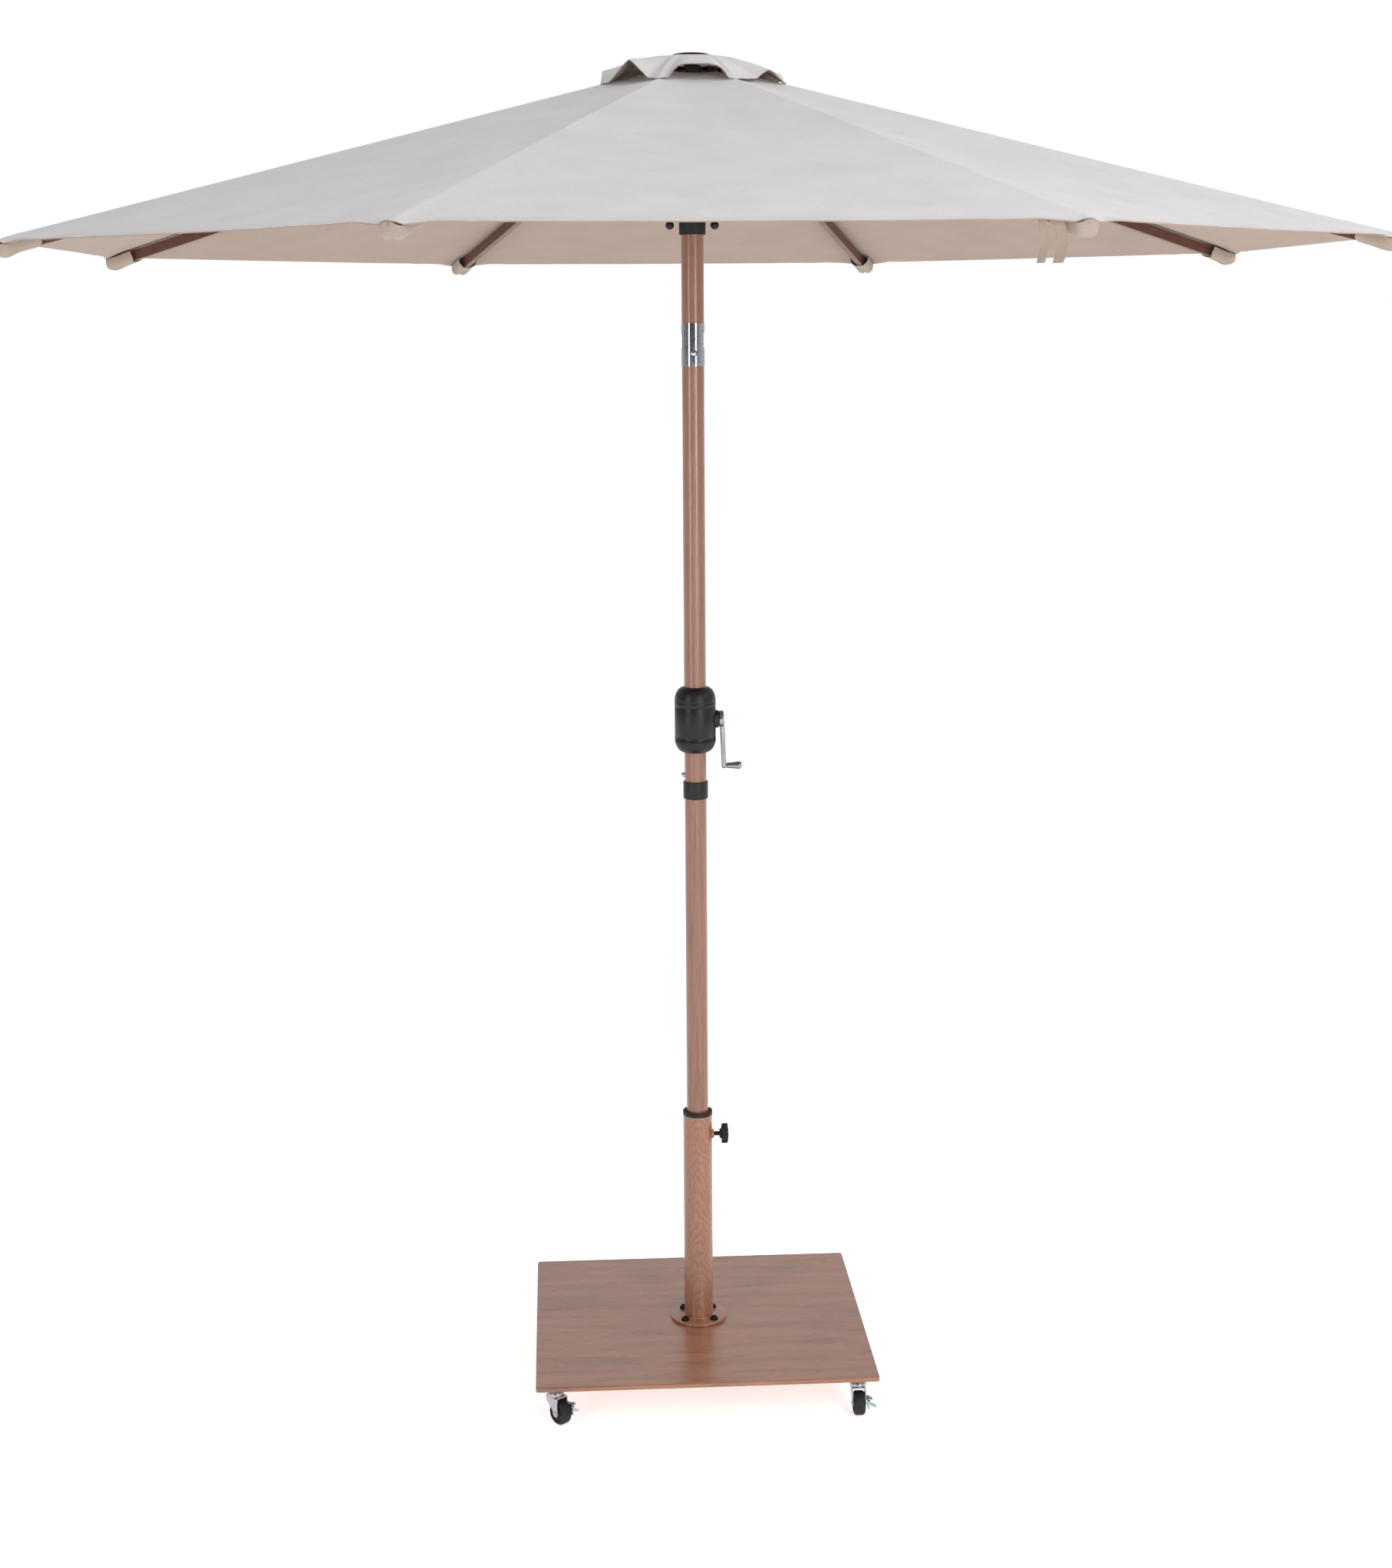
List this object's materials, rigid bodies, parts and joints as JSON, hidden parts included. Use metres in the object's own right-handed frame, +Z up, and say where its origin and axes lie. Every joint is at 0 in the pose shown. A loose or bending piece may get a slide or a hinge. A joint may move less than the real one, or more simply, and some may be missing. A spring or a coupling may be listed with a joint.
{
  "type": "patio umbrella with base",
  "caption": "Centre-pole patio umbrella with a vented eight-sided canopy, crank lift, tilt joint and a square plate base on casters.",
  "frame": {"origin": "on the floor under the mast axis, midway between the casters", "axes": "+Z up along the mast, +X to the crank side, -Y to the front where the tilt button is"},
  "size_m": [2.112, 2.112, 2.2759],
  "materials": {
    "pole_woodgrain": "fine woodgrain film over steel, satin",
    "base_woodgrain": "fine woodgrain film over steel plate, satin",
    "black_plastic": "moulded, fine texture",
    "black_metal": "black oxide",
    "chrome": "polished",
    "zinc": "bright zinc plate",
    "tread": "moulded",
    "canopy_fabric": "plain woven polyester",
    "rib_paint": "brown powder coat",
    "cord": "braided polyester cord",
    "nylon": "moulded nylon",
    "strap_fabric": "thin woven tape"
  },
  "bodies": {
    "base": {"base_plate": "base_woodgrain", "base_tube": "base_woodgrain", "flange_screws": "black_metal", "tube_collar": "black_plastic", "caster_stems": "zinc"},
    "caster_1": {"caster_fork_1": "zinc"},
    "wheel_1": {"caster_wheel_1": "tread"},
    "brake_1": {"caster_brake_1": "zinc"},
    "caster_2": {"caster_fork_2": "zinc"},
    "wheel_2": {"caster_wheel_2": "tread"},
    "brake_2": {"caster_brake_2": "zinc"},
    "caster_3": {"caster_fork_3": "zinc"},
    "wheel_3": {"caster_wheel_3": "tread"},
    "caster_4": {"caster_fork_4": "zinc"},
    "wheel_4": {"caster_wheel_4": "tread"},
    "clamp_pad": {"clamp_pad": "nylon"},
    "clamp_screw": {"clamp_knob": "black_plastic"},
    "mast": {"lower_pole": "pole_woodgrain", "pole_foot": "black_plastic", "pole_collar": "black_plastic", "crank_pole": "pole_woodgrain", "housing_front": "black_plastic", "housing_back": "black_plastic", "tilt_lower_knuckle": "chrome", "tilt_rivets": "chrome", "cord_in_mast": "cord"},
    "snap_button": {"snap_button": "chrome"},
    "tilt_button": {"tilt_button": "chrome"},
    "crank": {"crank_spool": "zinc", "crank_arm": "chrome"},
    "grip": {"crank_grip": "chrome"},
    "upper_mast": {"tilt_upper_knuckle": "chrome", "upper_pole": "pole_woodgrain", "top_hub": "black_plastic", "finial": "black_plastic", "vent_cap": "canopy_fabric", "canopy": "canopy_fabric", "lift_cords": "cord", "cord_over_pulleys": "cord"},
    "sheave_right": {"pulley_right": "nylon"},
    "sheave_left": {"pulley_left": "nylon"},
    "runner": {"runner": "black_plastic", "cord_beads": "black_plastic"},
    "rib_1": {"rib_1": "rib_paint"},
    "strut_1": {"strut_1": "rib_paint"},
    "rib_2": {"rib_2": "rib_paint"},
    "strut_2": {"strut_2": "rib_paint"},
    "rib_3": {"rib_3": "rib_paint"},
    "strut_3": {"strut_3": "rib_paint"},
    "rib_4": {"rib_4": "rib_paint"},
    "strut_4": {"strut_4": "rib_paint"},
    "rib_5": {"rib_5": "rib_paint"},
    "strut_5": {"strut_5": "rib_paint"},
    "rib_6": {"rib_6": "rib_paint"},
    "strut_6": {"strut_6": "rib_paint"},
    "rib_7": {"rib_7": "rib_paint", "tie_strap": "strap_fabric"},
    "strut_7": {"strut_7": "rib_paint"},
    "rib_8": {"rib_8": "rib_paint"},
    "strut_8": {"strut_8": "rib_paint"}
  },
  "joints": [
    {"name": "caster_swivel_1", "type": "hinge", "parent": "base", "child": "caster_1", "pos_m": [-0.2545, -0.232, 0.065], "axis": [0, 0, 1], "continuous": true},
    {"name": "wheel_spin_1", "type": "hinge", "parent": "caster_1", "child": "wheel_1", "pos_m": [-0.24679, -0.24119, 0.02], "axis": [0.766, 0.6428, 0], "continuous": true},
    {"name": "brake_press_1", "type": "hinge", "parent": "caster_1", "child": "brake_1", "pos_m": [-0.226, -0.24333, 0.03], "axis": [-0.6428, 0.766, 0], "range_deg": [0, 8]},
    {"name": "caster_swivel_2", "type": "hinge", "parent": "base", "child": "caster_2", "pos_m": [0.2545, -0.232, 0.065], "axis": [0, 0, 1], "continuous": true},
    {"name": "wheel_spin_2", "type": "hinge", "parent": "caster_2", "child": "wheel_2", "pos_m": [0.2545, -0.244, 0.02], "axis": [1, 0, 0], "continuous": true},
    {"name": "brake_press_2", "type": "hinge", "parent": "caster_2", "child": "brake_2", "pos_m": [0.26905, -0.259, 0.03], "axis": [0, 1, 0], "range_deg": [0, 8]},
    {"name": "caster_swivel_3", "type": "hinge", "parent": "base", "child": "caster_3", "pos_m": [0.2545, 0.232, 0.065], "axis": [0, 0, 1], "continuous": true},
    {"name": "wheel_spin_3", "type": "hinge", "parent": "caster_3", "child": "wheel_3", "pos_m": [0.25957, 0.24288, 0.02], "axis": [-0.9063, 0.4226, 0], "continuous": true},
    {"name": "caster_swivel_4", "type": "hinge", "parent": "base", "child": "caster_4", "pos_m": [-0.2545, 0.232, 0.065], "axis": [0, 0, 1], "continuous": true},
    {"name": "wheel_spin_4", "type": "hinge", "parent": "caster_4", "child": "wheel_4", "pos_m": [-0.2586, 0.24328, 0.02], "axis": [-0.9397, -0.342, 0], "continuous": true},
    {"name": "mast_turn", "type": "hinge", "parent": "base", "child": "mast", "pos_m": [0, 0, 0.073], "axis": [0, 0, 1], "continuous": true},
    {"name": "clamp_travel", "type": "slide", "parent": "base", "child": "clamp_pad", "axis": [1, 0, 0], "range_m": [0, 0.005]},
    {"name": "clamp_turn", "type": "hinge", "parent": "clamp_pad", "child": "clamp_screw", "pos_m": [0.03, 0, 0.408], "axis": [1, 0, 0], "range_deg": [0, 1440]},
    {"name": "snap_press", "type": "slide", "parent": "mast", "child": "snap_button", "axis": [1, 0, 0], "range_m": [0, 0.006], "stiffness_N_per_m": 900, "springref_m": -0.002},
    {"name": "tilt_button_press", "type": "slide", "parent": "mast", "child": "tilt_button", "axis": [0, 1, 0], "range_m": [0, 0.003], "stiffness_N_per_m": 1500, "springref_m": -0.002},
    {"name": "tilt_hinge", "type": "hinge", "parent": "mast", "child": "upper_mast", "pos_m": [0, 0, 1.801], "axis": [0, 1, 0], "range_deg": [0, 30]},
    {"name": "crank_turn", "type": "hinge", "parent": "mast", "child": "crank", "pos_m": [0.03, 0, 1.148], "axis": [1, 0, 0], "range_deg": [0, 3600.5]},
    {"name": "grip_spin", "type": "hinge", "parent": "crank", "child": "grip", "pos_m": [0.06, 0, 1.066], "axis": [1, 0, 0], "continuous": true},
    {"name": "runner_slide", "type": "slide", "parent": "upper_mast", "child": "runner", "axis": [0, 0, 1], "range_m": [-0.59094, 0], "deforming": ["lift_cords", "canopy", "vent_cap", "tie_strap"]},
    {"name": "sheave_right_spin", "type": "hinge", "parent": "upper_mast", "child": "sheave_right", "pos_m": [0.026, 0, 2.233], "axis": [0, 1, 0], "range_deg": [0, 2822.04]},
    {"name": "sheave_left_spin", "type": "hinge", "parent": "upper_mast", "child": "sheave_left", "pos_m": [-0.026, 0, 2.233], "axis": [0, -1, 0], "range_deg": [0, 2822.04]},
    {"name": "rib_hinge_1", "type": "hinge", "parent": "upper_mast", "child": "rib_1", "pos_m": [0.03696, 0.01531, 2.236], "axis": [-0.3827, 0.9239, 0], "range_deg": [0, 71.02]},
    {"name": "strut_hinge_1", "type": "hinge", "parent": "rib_1", "child": "strut_1", "pos_m": [0.39853, 0.16508, 2.1125], "axis": [-0.3827, 0.9239, 0], "range_deg": [-144.16, 0]},
    {"name": "rib_hinge_2", "type": "hinge", "parent": "upper_mast", "child": "rib_2", "pos_m": [0.01531, 0.03696, 2.236], "axis": [-0.9239, 0.3827, 0], "range_deg": [0, 71.02]},
    {"name": "strut_hinge_2", "type": "hinge", "parent": "rib_2", "child": "strut_2", "pos_m": [0.16508, 0.39853, 2.1125], "axis": [-0.9239, 0.3827, 0], "range_deg": [-144.16, 0]},
    {"name": "rib_hinge_3", "type": "hinge", "parent": "upper_mast", "child": "rib_3", "pos_m": [-0.01531, 0.03696, 2.236], "axis": [-0.9239, -0.3827, 0], "range_deg": [0, 71.02]},
    {"name": "strut_hinge_3", "type": "hinge", "parent": "rib_3", "child": "strut_3", "pos_m": [-0.16508, 0.39853, 2.1125], "axis": [-0.9239, -0.3827, 0], "range_deg": [-144.16, 0]},
    {"name": "rib_hinge_4", "type": "hinge", "parent": "upper_mast", "child": "rib_4", "pos_m": [-0.03696, 0.01531, 2.236], "axis": [-0.3827, -0.9239, 0], "range_deg": [0, 71.02]},
    {"name": "strut_hinge_4", "type": "hinge", "parent": "rib_4", "child": "strut_4", "pos_m": [-0.39853, 0.16508, 2.1125], "axis": [-0.3827, -0.9239, 0], "range_deg": [-144.16, 0]},
    {"name": "rib_hinge_5", "type": "hinge", "parent": "upper_mast", "child": "rib_5", "pos_m": [-0.03696, -0.01531, 2.236], "axis": [0.3827, -0.9239, 0], "range_deg": [0, 71.02]},
    {"name": "strut_hinge_5", "type": "hinge", "parent": "rib_5", "child": "strut_5", "pos_m": [-0.39853, -0.16508, 2.1125], "axis": [0.3827, -0.9239, 0], "range_deg": [-144.16, 0]},
    {"name": "rib_hinge_6", "type": "hinge", "parent": "upper_mast", "child": "rib_6", "pos_m": [-0.01531, -0.03696, 2.236], "axis": [0.9239, -0.3827, 0], "range_deg": [0, 71.02]},
    {"name": "strut_hinge_6", "type": "hinge", "parent": "rib_6", "child": "strut_6", "pos_m": [-0.16508, -0.39853, 2.1125], "axis": [0.9239, -0.3827, 0], "range_deg": [-144.16, 0]},
    {"name": "rib_hinge_7", "type": "hinge", "parent": "upper_mast", "child": "rib_7", "pos_m": [0.01531, -0.03696, 2.236], "axis": [0.9239, 0.3827, 0], "range_deg": [0, 71.02]},
    {"name": "strut_hinge_7", "type": "hinge", "parent": "rib_7", "child": "strut_7", "pos_m": [0.16508, -0.39853, 2.1125], "axis": [0.9239, 0.3827, 0], "range_deg": [-144.16, 0]},
    {"name": "rib_hinge_8", "type": "hinge", "parent": "upper_mast", "child": "rib_8", "pos_m": [0.03696, -0.01531, 2.236], "axis": [0.3827, 0.9239, 0], "range_deg": [0, 71.02]},
    {"name": "strut_hinge_8", "type": "hinge", "parent": "rib_8", "child": "strut_8", "pos_m": [0.39853, -0.16508, 2.1125], "axis": [0.3827, 0.9239, 0], "range_deg": [-144.16, 0]}
  ],
  "couplings": [
    {"joint": "clamp_travel", "follows": "clamp_turn", "m_per_rad": 0.00019894},
    {"joint": "crank_turn", "follows": "runner_slide", "rad_per_m": -106.32},
    {"joint": "sheave_right_spin", "follows": "runner_slide", "rad_per_m": -83.333},
    {"joint": "sheave_left_spin", "follows": "runner_slide", "rad_per_m": -83.333},
    {"joint": "rib_hinge_1", "follows": "runner_slide", "rad_per_m": -2.097},
    {"joint": "strut_hinge_1", "follows": "runner_slide", "rad_per_m": 4.2572},
    {"joint": "rib_hinge_2", "follows": "runner_slide", "rad_per_m": -2.097},
    {"joint": "strut_hinge_2", "follows": "runner_slide", "rad_per_m": 4.2572},
    {"joint": "rib_hinge_3", "follows": "runner_slide", "rad_per_m": -2.097},
    {"joint": "strut_hinge_3", "follows": "runner_slide", "rad_per_m": 4.2572},
    {"joint": "rib_hinge_4", "follows": "runner_slide", "rad_per_m": -2.097},
    {"joint": "strut_hinge_4", "follows": "runner_slide", "rad_per_m": 4.2572},
    {"joint": "rib_hinge_5", "follows": "runner_slide", "rad_per_m": -2.097},
    {"joint": "strut_hinge_5", "follows": "runner_slide", "rad_per_m": 4.2572},
    {"joint": "rib_hinge_6", "follows": "runner_slide", "rad_per_m": -2.097},
    {"joint": "strut_hinge_6", "follows": "runner_slide", "rad_per_m": 4.2572},
    {"joint": "rib_hinge_7", "follows": "runner_slide", "rad_per_m": -2.097},
    {"joint": "strut_hinge_7", "follows": "runner_slide", "rad_per_m": 4.2572},
    {"joint": "rib_hinge_8", "follows": "runner_slide", "rad_per_m": -2.097},
    {"joint": "strut_hinge_8", "follows": "runner_slide", "rad_per_m": 4.2572}
  ]
}
